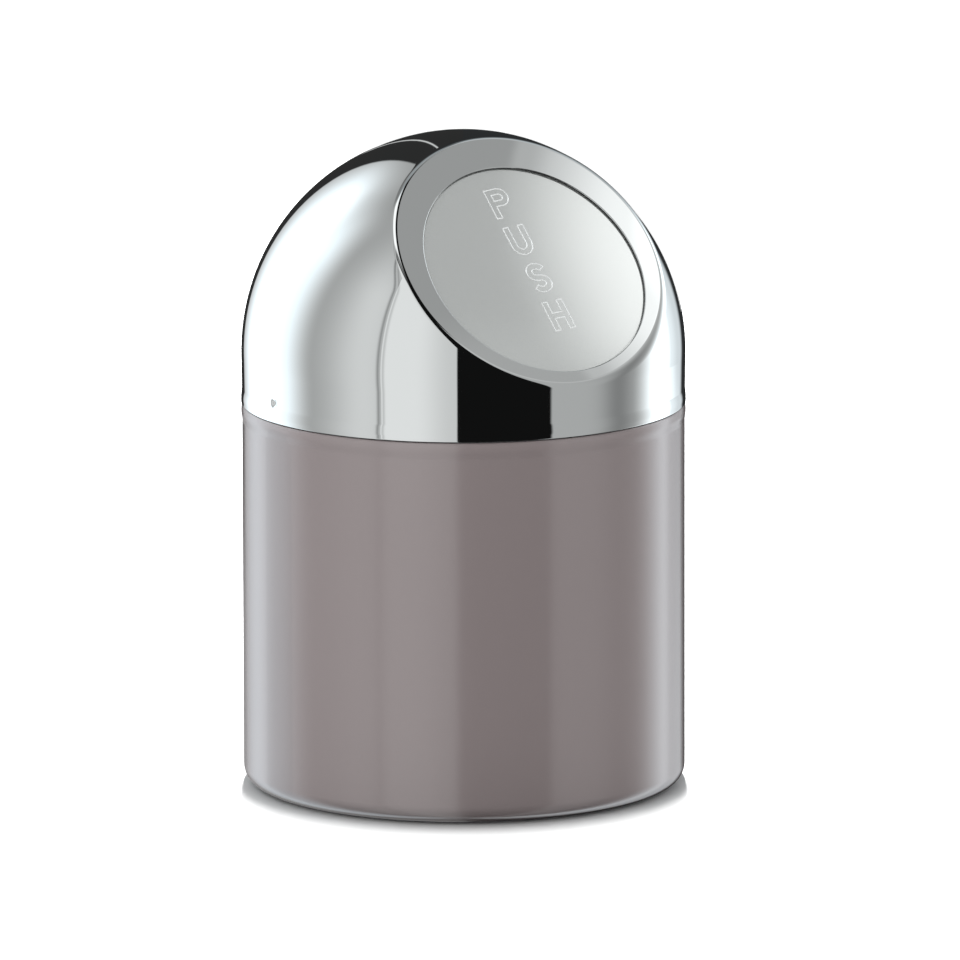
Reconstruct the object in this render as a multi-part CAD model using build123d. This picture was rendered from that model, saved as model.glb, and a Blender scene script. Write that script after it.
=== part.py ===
"""Push-top countertop bin: a painted steel can with a chromed dome lid and a sprung push flap.

Millimetres, +Z up, origin on the floor at the centre of the can; the flap faces -Y.
The lid's pieces that follow the sloping flat are drawn in the flat's own frame: x across it,
y up the slope and z along its outward normal, with the origin at the centre of the dome.
"""
from build123d import *
from math import asin, atan2, cos, degrees, pi, radians, sin, sqrt
import os

# ---- can -------------------------------------------------------------------------------------
can_radius = 62.0
can_height = 108.5
can_wall = 0.6
can_corner_radius = 5.0
rim_swell = 0.28
rim_swell_start = 5.0
rim_crest_drop = 2.2
rim_crest_width = 0.7

# ---- base ------------------------------------------------------------------------------------
foot_proud = 0.35
foot_height = 1.6
foot_width = 5.6
foot_chamfer = 0.3
foot_lip_width = 2.1
foot_lip_height = 0.5
rebate_inset = 1.4
rebate_flange_width = 3.6
pan_wall = 0.6
pan_seat_width = 5.0
pan_rise = 2.0
pan_slope_width = 4.0
pan_rib_radius = 26.0
pan_rib_width = 3.0
pan_rib_rise = 1.0

# ---- neck collar -----------------------------------------------------------------------------
collar_wall = 0.6
collar_rise = 8.0
collar_weld_depth = 12.5
collar_weld_height = 6.0
collar_joggle_height = 2.5
collar_joggle = 0.7
collar_roll_radius = 0.6

# ---- lid -------------------------------------------------------------------------------------
lid_wall = 0.6
dome_oversize = 0.2
dome_centre_rise = 14.5
skirt_taper = 0.8
lip_flare = 0.3
lip_flare_start = 4.6
lip_flare_end = 1.4
lip_edge_radius = 0.25
hem_thickness = 1.1
hem_height = 1.6
nib_rise = 5.7
nib_radius = 2.0
nib_clearance = 0.08

# ---- sloping flat and its opening ------------------------------------------------------------
flat_elevation = 41.4
flat_radius = 40.7
flat_edge_radius = 2.2
ring_width_top = 10.2
ring_width_bottom = 4.1
opening_edge_radius = 0.15

# ---- flap ------------------------------------------------------------------------------------
flap_thickness = 0.8
flap_overlap = 1.4
flap_edge_radius = 0.2
flap_opening_angle = 70.0
pad_thickness = 0.4
pad_radius = 1.4
pad_angles = {"left": 180.0, "right": 0.0, "upper_left": 135.0, "upper_right": 45.0}
closing_gap = 0.05

# ---- hinge -----------------------------------------------------------------------------------
axle_radius = 1.5
axle_above_opening = 0.5
axle_depth = 3.6
axle_head_radius = 2.6
axle_head_thickness = 0.8
axle_tail = 0.8
clip_radius = 3.0
clip_thickness = 0.6
running_gap = 0.05
flap_tail = 1.5
leaf_thickness = 0.8
leaf_length = 15.0
leaf_half_width = 11.0
leaf_notch_half_width = 4.0
leaf_notch_depth = 2.2
lug_radius = 3.4
lug_foot = 6.0
heel_reach = 4.4
heel_radius = 0.6
heel_gap = 0.1
bush_wall = 0.65
bush_flange_radius = 3.2
bush_flange_thickness = 0.8
bush_inner_length = 0.8
bush_side_gap = 0.2
bracket_thickness = 0.8
bracket_gap = 0.5
bracket_width = 5.4
bracket_edge_gap = 0.2
cheek_radius = 3.2
spring_wire_radius = 0.4
spring_turns = 5
spring_pitch = 0.86
spring_seat_gap = 0.1
spring_flap_leg = 11.0
spring_bracket_leg = 5.6

# ---- shared fits -----------------------------------------------------------------------------
weld_gap = 0.05
lid_side_gap = 0.55

# ---- sizes that follow -----------------------------------------------------------------------
can_inner_radius = can_radius - can_wall
rim_outer_radius = can_radius + rim_swell
rim_top_radius = rim_outer_radius - rim_crest_width
rim_crest_height = can_height - rim_crest_drop
rim_swell_height = can_height - rim_swell_start
rebate_radius = can_radius - can_corner_radius - rebate_inset
rebate_flange_radius = rebate_radius - rebate_flange_width
pan_seat_height = foot_height + can_wall
pan_seat_radius = rebate_flange_radius + pan_seat_width
pan_centre_radius = rebate_flange_radius - pan_slope_width

dome_radius = can_radius + dome_oversize
dome_centre_height = can_height + dome_centre_rise
lip_radius = can_radius + lip_flare
hem_inner_radius = lip_radius - hem_thickness
collar_radius = hem_inner_radius - lid_side_gap
collar_weld_radius = collar_radius + collar_joggle

flat_distance = sqrt(dome_radius**2 - flat_radius**2)
flat_back = flat_distance - lid_wall
flat_back_edge_radius = flat_edge_radius - lid_wall
flat_back_radius = sqrt((dome_radius - lid_wall)**2 - flat_back**2)
opening_radius = flat_radius - (ring_width_top + ring_width_bottom) / 2
opening_drop = (ring_width_top - ring_width_bottom) / 2

flap_face = flat_back - pad_thickness - closing_gap
flap_back = flap_face - flap_thickness
flap_radius = opening_radius + opening_drop + flap_overlap
axle_up = flat_radius - ring_width_top + axle_above_opening
axle_out = flap_back - axle_depth
flap_top = axle_up + flap_tail

lug_inner_face = leaf_half_width - leaf_thickness
cheek_inner_face = leaf_half_width + bush_flange_thickness + bush_side_gap
cheek_outer_face = cheek_inner_face + bracket_thickness
bush_bore_radius = axle_radius + running_gap
bush_radius = bush_bore_radius + bush_wall
bracket_back = flat_back - bracket_thickness
bracket_start = flap_top + bracket_gap
spring_radius = axle_depth - leaf_thickness - spring_seat_gap - spring_wire_radius

flat_frame = Plane(
    origin=(0, 0, dome_centre_height),
    x_dir=(1, 0, 0),
    z_dir=(0, -cos(radians(flat_elevation)), sin(radians(flat_elevation))),
)
axle_frame = Plane(origin=(0, axle_up, axle_out), x_dir=(0, 1, 0), z_dir=(1, 0, 0))


# ---- helpers ---------------------------------------------------------------------------------
def turned(*outline):
    """A solid of revolution about +Z from edges drawn as radius, height."""
    return revolve(Plane.XZ * make_face(outline), Axis.Z)


def turned_polygon(*points):
    return turned(*Polyline(*points, close=True).edges())


def disc(radius, low, high, centre=(0, 0)):
    """A round slab between two heights of the frame it is placed in."""
    return extrude(Pos(centre[0], centre[1], low) * Circle(radius), high - low)


def side_plate(profile, low, high):
    """A profile seen along the axle, as a plate between two places along the axle."""
    return extrude(axle_frame.offset(low) * profile, high - low)


def mirrored(solid):
    return mirror(solid, Plane.YZ)


# ---- can -------------------------------------------------------------------------------------
def can_shell():
    """Drawn can: wall, rounded foot corner, rebate for the foot ring, swelling towards the rim."""
    bottom = foot_proud
    corner = can_corner_radius
    inner_corner = corner - can_wall
    corner_centre = can_radius - corner
    outside = [
        Line((rebate_flange_radius, foot_height), (rebate_radius, foot_height)),
        Line((rebate_radius, foot_height), (rebate_radius, bottom)),
        Line((rebate_radius, bottom), (corner_centre, bottom)),
        CenterArc((corner_centre, bottom + corner), corner, -90, 90),
        Line((can_radius, bottom + corner), (can_radius, rim_swell_height)),
        Spline(
            (can_radius, rim_swell_height),
            (rim_outer_radius, rim_crest_height),
            tangents=[(0, 1), (0, 1)],
        ),
        EllipticalCenterArc(
            (rim_top_radius, rim_crest_height), rim_crest_width, rim_crest_drop, arc_size=90
        ),
        Line((rim_top_radius, can_height), (collar_radius + weld_gap, can_height)),
    ]
    rim_underside = can_height - can_wall
    flange_top = pan_seat_height
    arc_start = sqrt(inner_corner**2 - (bottom + corner - flange_top)**2)
    inside = [
        Line((collar_radius + weld_gap, can_height), (collar_radius + weld_gap, rim_underside)),
        Line((collar_radius + weld_gap, rim_underside), (can_inner_radius, rim_underside)),
        Line((can_inner_radius, rim_underside), (can_inner_radius, bottom + corner)),
        ThreePointArc(
            (can_inner_radius, bottom + corner),
            (corner_centre + inner_corner * cos(pi / 6), bottom + corner - inner_corner * sin(pi / 6)),
            (corner_centre + arc_start, flange_top),
        ),
        Line((corner_centre + arc_start, flange_top), (rebate_flange_radius, flange_top)),
        Line((rebate_flange_radius, flange_top), (rebate_flange_radius, foot_height)),
    ]
    return turned(*outside, *inside)


def base_pan():
    """Pressed disc on the can's flange, with a raised centre and one stiffening rib."""
    seat = pan_seat_height
    centre = seat + pan_rise
    rib = centre + pan_rib_rise
    top = [
        (0, centre + pan_wall),
        (pan_rib_radius - pan_rib_width, centre + pan_wall),
        (pan_rib_radius - pan_rib_width / 2, rib + pan_wall),
        (pan_rib_radius + pan_rib_width / 2, rib + pan_wall),
        (pan_rib_radius + pan_rib_width, centre + pan_wall),
        (pan_centre_radius, centre + pan_wall),
        (rebate_flange_radius, seat + pan_wall),
        (pan_seat_radius, seat + pan_wall),
    ]
    underside = [(radius, height - pan_wall) for radius, height in reversed(top)]
    return turned_polygon(*top, *underside)


def foot_ring():
    """Plastic ring pressed into the rebate; the only piece that meets the floor."""
    outer = rebate_radius - weld_gap
    inner = outer - foot_width
    lip = rebate_flange_radius - weld_gap
    lip_top = foot_height + foot_lip_height
    return turned_polygon(
        (inner + foot_chamfer, 0),
        (outer - foot_chamfer, 0),
        (outer, foot_chamfer),
        (outer, foot_height),
        (lip, foot_height),
        (lip, lip_top),
        (lip - foot_lip_width, lip_top),
        (inner, foot_height),
        (inner, foot_chamfer),
    )


def neck_collar():
    """Joggled steel ring, welded inside the rim, that the lid drops over."""
    low = can_height - collar_weld_depth
    joggle_low = low + collar_weld_height
    joggle_high = joggle_low + collar_joggle_height
    high = can_height + collar_rise
    roll = collar_roll_radius
    welded = min(collar_weld_radius, can_inner_radius - weld_gap)
    wall = turned_polygon(
        (welded - collar_wall, low),
        (welded, low),
        (welded, joggle_low),
        (collar_radius, joggle_high),
        (collar_radius, high - roll),
        (collar_radius - collar_wall, high - roll),
        (collar_radius - collar_wall, joggle_high),
        (welded - collar_wall, joggle_low),
    )
    rolled_edge = revolve(
        Plane.XZ * (Pos(collar_radius - roll, high - roll) * Circle(roll)), Axis.Z
    )
    return wall + rolled_edge


# ---- lid dome --------------------------------------------------------------------------------
def dome_body(inset):
    """The dome and skirt as a full solid, drawn in from its outside by inset."""
    radius = dome_radius - inset
    taper = radians(skirt_taper)
    leave = (radius * cos(taper), dome_centre_height - radius * sin(taper))
    flare_start = can_height + lip_flare_start
    flare_end = can_height + lip_flare_end
    waist = leave[0] - (leave[1] - flare_start) * sin(taper) / cos(taper)
    edge = lip_radius - inset
    outline = [
        CenterArc((0, dome_centre_height), radius, 90, -90 - skirt_taper),
        Line(leave, (waist, flare_start)),
        Spline((waist, flare_start), (edge, flare_end), tangents=[(-sin(taper), -cos(taper)), (0, -1)]),
        Line((edge, flare_end), (edge, can_height)),
        Line((edge, can_height), (0, can_height)),
        Line((0, can_height), (0, dome_centre_height + radius)),
    ]
    return turned(*outline)


def below_flat(solid, distance, edge_radius):
    """Cut a solid off at the flat's plane and round the edge that this leaves."""
    slab = extrude(Pos(0, 0, distance) * Circle(2 * dome_radius), 2 * dome_radius)
    cut = solid - flat_frame * slab
    rim = [
        edge
        for edge in cut.edges().filter_by(GeomType.CIRCLE)
        if abs(flat_frame.to_local_coords(edge.arc_center).Z - distance) < edge_radius
    ]
    return fillet(rim, edge_radius)


def lid_dome():
    """One pressed sheet: dome, skirt, hemmed lip, sloping flat with its opening, two nibs."""
    outside = below_flat(dome_body(0), flat_distance, flat_edge_radius)
    hollow = below_flat(dome_body(lid_wall), flat_back, flat_back_edge_radius)
    nib_height = can_height + nib_rise
    skirt_radius = dome_radius - (dome_centre_rise - nib_rise) * sin(radians(skirt_taper))
    nib_depth = skirt_radius - lid_wall - collar_radius - nib_clearance
    ball = (nib_radius**2 + nib_depth**2) / (2 * nib_depth)
    for side in (-1, 1):
        centre = Pos(side * (skirt_radius - nib_depth + ball), 0, nib_height)
        outside -= centre * Sphere(ball)
        hollow -= centre * Sphere(ball + lid_wall)
    hollow -= turned_polygon(
        (hem_inner_radius, can_height),
        (2 * dome_radius, can_height),
        (2 * dome_radius, can_height + hem_height),
        (hem_inner_radius, can_height + hem_height),
    )
    sheet = outside - hollow
    opening = disc(opening_radius, flat_back - flat_radius / 2, 2 * dome_radius, (0, -opening_drop))
    sheet -= flat_frame * opening
    lip_edge = [
        edge
        for edge in sheet.edges().filter_by(GeomType.CIRCLE)
        if abs(edge.radius - lip_radius) < weld_gap / 2 and edge.arc_center.Z < can_height + weld_gap
    ]
    sheet = fillet(lip_edge, lip_edge_radius)
    cut_edge = [
        edge
        for edge in sheet.edges().filter_by(GeomType.CIRCLE)
        if abs(edge.radius - opening_radius) < weld_gap / 2
    ]
    return fillet(cut_edge, opening_edge_radius)


# ---- flap ------------------------------------------------------------------------------------
def flap_plate():
    """Round plate behind the opening, cut straight above the hinge axis."""
    plate = disc(flap_radius, flap_back, flap_face)
    above = Pos(0, flap_top + flap_radius, flap_face) * Box(4 * flap_radius, 2 * flap_radius, flap_radius)
    plate -= above
    face_rim = plate.faces().sort_by(Axis.Z)[-1].edges()
    return flat_frame * fillet(face_rim, flap_edge_radius)


def flap_leaf():
    """Hinge leaf behind the flap: two lugs, a heel that stops the opening, a notch for the spring."""
    top = flap_top - flap_edge_radius
    low = top - leaf_length
    base = Pos(0, (low + top) / 2, flap_back - leaf_thickness / 2) * Box(
        2 * leaf_half_width, leaf_length, leaf_thickness
    )
    notch = Pos(0, top, flap_back) * Box(2 * leaf_notch_half_width, 2 * leaf_notch_depth, flap_radius)
    base -= notch
    leaf_back = axle_depth - leaf_thickness
    web_back = bracket_back - axle_out
    stop_angle = degrees(asin((web_back - heel_gap - heel_radius) / heel_reach))
    heel_angle = radians(stop_angle - flap_opening_angle)
    heel = Pos(heel_reach * cos(heel_angle), heel_reach * sin(heel_angle)) * Circle(heel_radius)
    foot = Polyline((-lug_foot, leaf_back), (0, leaf_back), (0, 0), close=True)
    profile = make_hull(Circle(lug_radius).edges() + heel.edges() + foot.edges())
    profile -= Circle(bush_radius)
    lug = side_plate(profile, lug_inner_face, leaf_half_width)
    return flat_frame * (base + lug + mirrored(lug))


def lug_bush():
    """Flanged bush in a lug; it turns on the axle and keeps the lug off the cheek."""
    bore = Circle(bush_bore_radius)
    barrel = side_plate(
        Circle(bush_radius) - bore, lug_inner_face - bush_inner_length, leaf_half_width
    )
    flange = side_plate(
        Circle(bush_flange_radius) - bore, leaf_half_width, leaf_half_width + bush_flange_thickness
    )
    return barrel + flange


def closing_pad(angle):
    """Dot behind the flat that the closed flap comes to rest on, midway over their overlap."""
    turn = radians(angle)
    offset = opening_drop * sin(turn)
    opening_edge = sqrt(opening_radius**2 - (opening_drop * cos(turn))**2) - offset
    reach = (opening_edge + flap_radius) / 2
    centre = (reach * cos(turn), reach * sin(turn))
    return flat_frame * disc(pad_radius, flat_back - pad_thickness, flat_back, centre)


# ---- hinge -----------------------------------------------------------------------------------
def hinge_bracket():
    """Channel welded behind the flat above the opening; its two cheeks carry the axle."""
    start = bracket_start - axle_up
    end = start + bracket_width
    web_front = flat_back - axle_out
    web_back = bracket_back - axle_out
    web = side_plate(
        Pos((start + end) / 2, (web_back + web_front) / 2) * Rectangle(bracket_width, bracket_thickness),
        -cheek_outer_face,
        cheek_outer_face,
    )
    arm = Pos(end / 2, 0) * Rectangle(end, 2 * cheek_radius)
    riser = Pos((start + end) / 2, web_front / 2) * Rectangle(bracket_width, web_front)
    profile = Circle(cheek_radius) + arm + riser - Circle(axle_radius + weld_gap / 2)
    cheek = side_plate(profile, cheek_inner_face, cheek_outer_face)
    reach = flat_back_radius - flat_back_edge_radius / 2 - bracket_edge_gap
    inside_flat = disc(reach, 0, flat_back)
    return flat_frame * ((web + cheek + mirrored(cheek)) & inside_flat)


def hinge_axle():
    """Headed pin through both cheeks and both bushes."""
    end = cheek_outer_face + clip_thickness + axle_tail
    shank = side_plate(Circle(axle_radius), -cheek_outer_face, end)
    head = side_plate(
        Circle(axle_head_radius), -cheek_outer_face - axle_head_thickness, -cheek_outer_face
    )
    return flat_frame * (shank + head)


def axle_clip():
    """Push-on washer that keeps the pin from sliding out."""
    ring = Circle(clip_radius) - Circle(axle_radius + weld_gap / 2)
    return flat_frame * side_plate(ring, cheek_outer_face, cheek_outer_face + clip_thickness)


def flap_spring():
    """Torsion spring round the axle: one leg on the leaf, the other under the bracket."""
    web_back = bracket_back - axle_out
    tip_up = spring_bracket_leg
    tip_out = web_back - spring_seat_gap - spring_wire_radius
    tip_angle = degrees(atan2(tip_out, tip_up))
    tip_distance = sqrt(tip_up**2 + tip_out**2)
    leave_angle = tip_angle + degrees(atan2(sqrt(tip_distance**2 - spring_radius**2), spring_radius))
    turns = spring_turns - (leave_angle - 90) / 360
    length = spring_pitch * turns
    coil = Helix(pitch=spring_pitch, height=length, radius=spring_radius)
    flap_leg = Line(coil @ 0 - coil % 0 * spring_flap_leg, coil @ 0)
    leg_length = sqrt(tip_distance**2 - spring_radius**2)
    bracket_leg = Line(coil @ 1, coil @ 1 + coil % 1 * leg_length)
    path = Wire([flap_leg.edge(), coil.edge(), bracket_leg.edge()])
    section = Plane(origin=path @ 0, z_dir=path % 0) * Circle(spring_wire_radius)
    wire = sweep(section, path=path)
    coil_frame = Plane(origin=(length / 2, axle_up, axle_out), x_dir=(0, 0, 1), z_dir=(-1, 0, 0))
    return flat_frame * (coil_frame * wire)


# ---- the assembly ----------------------------------------------------------------------------
def all_pieces():
    bush = lug_bush()
    pieces = {
        "can_shell": can_shell(),
        "base_pan": base_pan(),
        "foot_ring": foot_ring(),
        "neck_collar": neck_collar(),
        "lid_dome": lid_dome(),
        "hinge_bracket": hinge_bracket(),
        "hinge_axle": hinge_axle(),
        "axle_clip": axle_clip(),
        "flap_spring": flap_spring(),
        "flap_plate": flap_plate(),
        "flap_leaf": flap_leaf(),
        "bush_right": flat_frame * bush,
        "bush_left": flat_frame * mirrored(bush),
    }
    for side, angle in pad_angles.items():
        pieces[f"closing_pad_{side}"] = closing_pad(angle)
    return pieces


os.makedirs("parts", exist_ok=True)
for name, piece in all_pieces().items():
    export_step(piece, f"parts/{name}.step")
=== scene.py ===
"""Looks of the push-top countertop bin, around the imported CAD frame. Metres, +Z up, flap facing -Y."""
from math import cos, pi, radians, sin, sqrt, tan

import bpy
import numpy as np
from mathutils import Matrix, Vector


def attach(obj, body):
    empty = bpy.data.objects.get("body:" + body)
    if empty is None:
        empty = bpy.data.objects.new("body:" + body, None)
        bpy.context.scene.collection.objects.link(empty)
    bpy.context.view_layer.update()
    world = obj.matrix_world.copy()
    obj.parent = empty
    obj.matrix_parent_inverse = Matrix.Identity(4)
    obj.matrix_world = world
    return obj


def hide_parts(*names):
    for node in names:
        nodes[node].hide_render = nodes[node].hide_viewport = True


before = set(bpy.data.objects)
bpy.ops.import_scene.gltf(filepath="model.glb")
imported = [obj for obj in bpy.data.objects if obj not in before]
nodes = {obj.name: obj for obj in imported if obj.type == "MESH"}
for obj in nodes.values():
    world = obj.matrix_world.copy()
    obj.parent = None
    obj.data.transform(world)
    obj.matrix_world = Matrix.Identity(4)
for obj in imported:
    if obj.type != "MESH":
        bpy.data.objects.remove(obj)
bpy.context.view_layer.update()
MM = 0.001

# ---- the photograph's camera -----------------------------------------------------------------
IMAGE_SIZE = 960
CAN_RADIUS = 62 * MM
CAMERA_AZIMUTH = -31.8
CAMERA_ELEVATION = 11.18
CAMERA_DISTANCE = 79.8 * CAN_RADIUS
CAMERA_ROLL = 0.125
SENSOR = 36.0
PIXELS_PER_RADIUS = 221.21
TARGET_HEIGHT = 1.5 * CAN_RADIUS
TARGET_X = 463.62
TARGET_Y = 455.15

to_right = Vector((cos(radians(CAMERA_AZIMUTH)), sin(radians(CAMERA_AZIMUTH)), 0))
to_camera = Vector((sin(radians(CAMERA_AZIMUTH)), -cos(radians(CAMERA_AZIMUTH)), 0))


def add_camera():
    """A long lens, level but for the roll, aimed so that the target falls on its pixel."""
    elevation = radians(CAMERA_ELEVATION)
    back = to_camera * cos(elevation) + Vector((0, 0, sin(elevation)))
    upward = back.cross(to_right)
    metres_per_pixel = CAN_RADIUS / PIXELS_PER_RADIUS
    roll = Matrix.Rotation(-radians(CAMERA_ROLL), 3, back)
    right, upward = roll @ to_right, roll @ upward
    aim = Vector((0, 0, TARGET_HEIGHT))
    aim += right * (IMAGE_SIZE / 2 - TARGET_X) * metres_per_pixel
    aim += upward * (TARGET_Y - IMAGE_SIZE / 2) * metres_per_pixel
    place = Matrix((right, upward, back)).transposed().to_4x4()
    place.translation = aim + back * CAMERA_DISTANCE
    data = bpy.data.cameras.new("camera")
    data.sensor_width = SENSOR
    data.lens = SENSOR * CAMERA_DISTANCE / (IMAGE_SIZE * metres_per_pixel)
    data.clip_start = 0.1
    data.clip_end = 50.0
    camera = bpy.data.objects.new("camera", data)
    camera.matrix_world = place
    bpy.context.scene.collection.objects.link(camera)
    bpy.context.scene.camera = camera


# ---- a small language for node trees ---------------------------------------------------------
class Tree:
    """Wraps a node tree, so that arithmetic on sockets reads as calls."""

    def __init__(self, tree):
        self.tree = tree
        tree.nodes.clear()

    def node(self, kind, **settings):
        made = self.tree.nodes.new(kind)
        for key, value in settings.items():
            setattr(made, key, value)
        return made

    def plug(self, socket, value):
        if isinstance(value, bpy.types.NodeSocket):
            self.tree.links.new(value, socket)
        else:
            socket.default_value = value

    def math(self, operation, *values):
        made = self.node("ShaderNodeMath", operation=operation)
        for socket, value in zip(made.inputs, values):
            self.plug(socket, value)
        return made.outputs[0]

    def add(self, *values):
        total = values[0]
        for value in values[1:]:
            total = self.math("ADD", total, value)
        return total

    def times(self, *values):
        total = values[0]
        for value in values[1:]:
            total = self.math("MULTIPLY", total, value)
        return total

    def largest(self, *values):
        found = values[0]
        for value in values[1:]:
            found = self.math("MAXIMUM", found, value)
        return found

    def dot(self, vector, direction):
        made = self.node("ShaderNodeVectorMath", operation="DOT_PRODUCT")
        self.plug(made.inputs[0], vector)
        self.plug(made.inputs[1], tuple(direction))
        return made.outputs["Value"]

    def step(self, value, start, end, low=0.0, high=1.0):
        """Smooth step from low at start to high at end."""
        made = self.node("ShaderNodeMapRange", interpolation_type="SMOOTHSTEP")
        self.plug(made.inputs["Value"], value)
        made.inputs["From Min"].default_value = start
        made.inputs["From Max"].default_value = end
        made.inputs["To Min"].default_value = low
        made.inputs["To Max"].default_value = high
        return made.outputs["Result"]

    def band(self, value, low, high, soft):
        """1 between low and high, falling smoothly to 0 over soft each side."""
        rise = self.step(value, low - soft, low + soft)
        fall = self.step(value, high - soft, high + soft, 1.0, 0.0)
        return self.times(rise, fall)

    def bump(self, value, centre, width):
        """A bell of height 1 about centre."""
        offset = self.math("DIVIDE", self.math("SUBTRACT", value, centre), width)
        return self.math("EXPONENT", self.times(offset, offset, -0.5))

    def mix(self, factor, first, second):
        made = self.node("ShaderNodeMix", data_type="FLOAT")
        self.plug(made.inputs[0], factor)
        self.plug(made.inputs[2], first)
        self.plug(made.inputs[3], second)
        return made.outputs[0]

    def mix_colour(self, factor, first, second):
        made = self.node("ShaderNodeMix", data_type="RGBA")
        self.plug(made.inputs[0], factor)
        self.plug(made.inputs[6], first)
        self.plug(made.inputs[7], second)
        return made.outputs[2]

    def noise(self, vector, scale, detail=3.0, roughness=0.5):
        made = self.node("ShaderNodeTexNoise")
        self.plug(made.inputs["Vector"], vector)
        made.inputs["Scale"].default_value = scale
        made.inputs["Detail"].default_value = detail
        made.inputs["Roughness"].default_value = roughness
        return made.outputs["Fac"]


# ---- the studio ------------------------------------------------------------------------------
# A direction is an azimuth, 0 towards the camera and positive to the right, and a height above the
# horizon, both in degrees. A pair of numbers is where a soft edge starts and ends, or the centre and
# the width of a bell. A level of 1 is the white background.
LEFT_TENT, TENT_LEVEL = (-161, -43.3), 0.40
TENT_LEAN, TENT_FADES = -9.0, (30, 60)
GLOW_RISES, GLOW_FALLS, GLOW_FADES, GLOW_LEVEL = (-169, -140), (-112, -84), (30, 62), 0.95
SHINE, SHINE_LEVELS = (-53, 15), (0.32, 0.13)
CORE, CORE_FADES, CORE_LEVEL = (-133, 8), (30, 50), 0.65
HEM_LEANS, HEM_LEAN, HEM_DEPTH = (36, 58), -14, 0.34
FRONT_PANEL, FRONT_DIMS, FRONT_LEVELS = (-43.3, -3.2), (-26, -4), (0.86, 0.66)
SIDE_STARTS, SIDE_LEVEL = (45.5, 47.5), 0.45
SIDE_STRIPE, STRIPE_FADES, STRIPE_DEPTH = (88.5, 8), (20, 48), -0.46
SIDE_BRIGHTENS, SIDE_EXTRA = (38, 50), 0.1
SIDE_DIMS, SIDE_ENDS, SIDE_FAR_LEVEL = (152, 172), (155, 161), 0.25
RIGHT_RISES, RIGHT_FADES = (98, 134), (27, 47)
RIGHT_CORE_ENDS, RIGHT_LEVELS = (126, 138), (2.0, 0.6)
RIGHT_DIMS, RIGHT_ENDS = (136, 150), (152, 159)
FRONT_TOP, CEILING = (57, 60), (60, 66)
GAP, GAP_WIDTH, GAP_HEIGHTS, GAP_LEVEL = -173.4, 0.2, (2.5, 38.5), 0.75
BLACK, FAR_BLACK, FAR_AZIMUTH = 0.006, 0.028, 150
TABLE_TOP = (-11.6, -11.15)
TABLE_RIGHT, TABLE_RIGHT_LEVEL = (131, 161), 0.35
TABLE_LEFT, TABLE_LEFT_LEVEL = (-151, -156), 0.4
COOL_STARTS, COOL_SHARE, COOL_TINT = (96, 124), 0.7, (0.91, 1.0, 1.06, 1)
MATT_GAIN, MATT_FILL = 2.0, 0.8


def left_side(t, azimuth, height):
    """The left tent, brightest at its far end, and that far glow alone."""
    leaning = t.add(azimuth, t.step(height, *TENT_FADES, 0.0, TENT_LEAN))
    glow = t.times(
        t.step(leaning, *GLOW_RISES),
        t.step(azimuth, *GLOW_FALLS, 1.0, 0.0),
        t.step(height, *GLOW_FADES, 1.0, 0.0),
    )
    shine = t.times(t.bump(azimuth, *SHINE), t.step(height, *TENT_FADES, *SHINE_LEVELS))
    core = t.times(t.bump(azimuth, *CORE), t.step(height, *CORE_FADES, CORE_LEVEL, 0.0))
    tent = t.add(TENT_LEVEL, t.times(glow, GLOW_LEVEL), shine, core)
    return t.times(t.band(azimuth, *LEFT_TENT, 0.8), tent), glow


def tent_hem(t, azimuth, height):
    """Two fine darker folds where the left tent ends, leaning over towards the top."""
    edge = t.add(LEFT_TENT[1], t.times(t.step(height, *HEM_LEANS), HEM_LEAN))
    from_edge = t.math("SUBTRACT", azimuth, edge)
    folds = t.add(t.bump(from_edge, -1.6, 0.7), t.times(t.bump(from_edge, 1.2, 0.6), 0.7))
    return t.times(folds, HEM_DEPTH)


def right_side(t, azimuth, height):
    """The side panel with its darker stripe, and the bright right tent behind it."""
    dip = t.times(t.bump(azimuth, *SIDE_STRIPE), t.step(height, *STRIPE_FADES, STRIPE_DEPTH, 0.0))
    side = t.add(SIDE_LEVEL, t.times(dip, SIDE_LEVEL), t.step(height, *SIDE_BRIGHTENS, 0.0, SIDE_EXTRA))
    side_end = t.add(azimuth, t.times(t.largest(t.add(height, -8), 0.0), 0.55))
    side = t.times(
        side,
        t.step(side_end, *SIDE_DIMS, 1.0, SIDE_FAR_LEVEL),
        t.step(azimuth, *SIDE_ENDS, 1.0, 0.0),
    )
    near_top = t.step(height, 53.5, 56, 1.0, 0.0)
    far_top = t.step(height, 60, 64, 1.0, 0.0)
    side = t.times(side, t.mix(t.step(azimuth, 96, 100), near_top, far_top))
    slant = t.add(height, t.times(t.largest(t.add(azimuth, -124), 0.0), 0.87))
    tent = t.times(t.step(azimuth, *RIGHT_RISES), t.step(slant, *RIGHT_FADES, 1.0, 0.0))
    tent = t.times(
        tent,
        t.step(azimuth, *RIGHT_CORE_ENDS, *RIGHT_LEVELS),
        t.step(azimuth, *RIGHT_DIMS, 1.0, 0.55),
        t.step(azimuth, *RIGHT_ENDS, 1.0, 0.0),
    )
    return t.times(t.step(azimuth, *SIDE_STARTS), t.add(side, tent))


def ceiling(t, right, near):
    """The panels overhead, by the parts of the direction to the right and towards the camera."""
    middle = t.times(t.band(right, -0.24, 0.22, 0.07), t.band(near, -0.08, 0.31, 0.06), 1.2)
    left = t.times(t.step(right, -0.1, -0.32, 0.0, 0.43), t.step(near, -0.35, -0.05))
    back = t.times(
        t.step(near, -0.05, -0.12),
        t.step(near, -0.42, -0.25, 0.08, 0.36),
        t.step(right, -0.15, 0.1, 0.6, 1.0),
    )
    front = t.times(t.step(near, 0.3, 0.4), t.step(right, 0.25, -0.1, 0.0, 0.3))
    return t.largest(middle, left, back, front)


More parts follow.
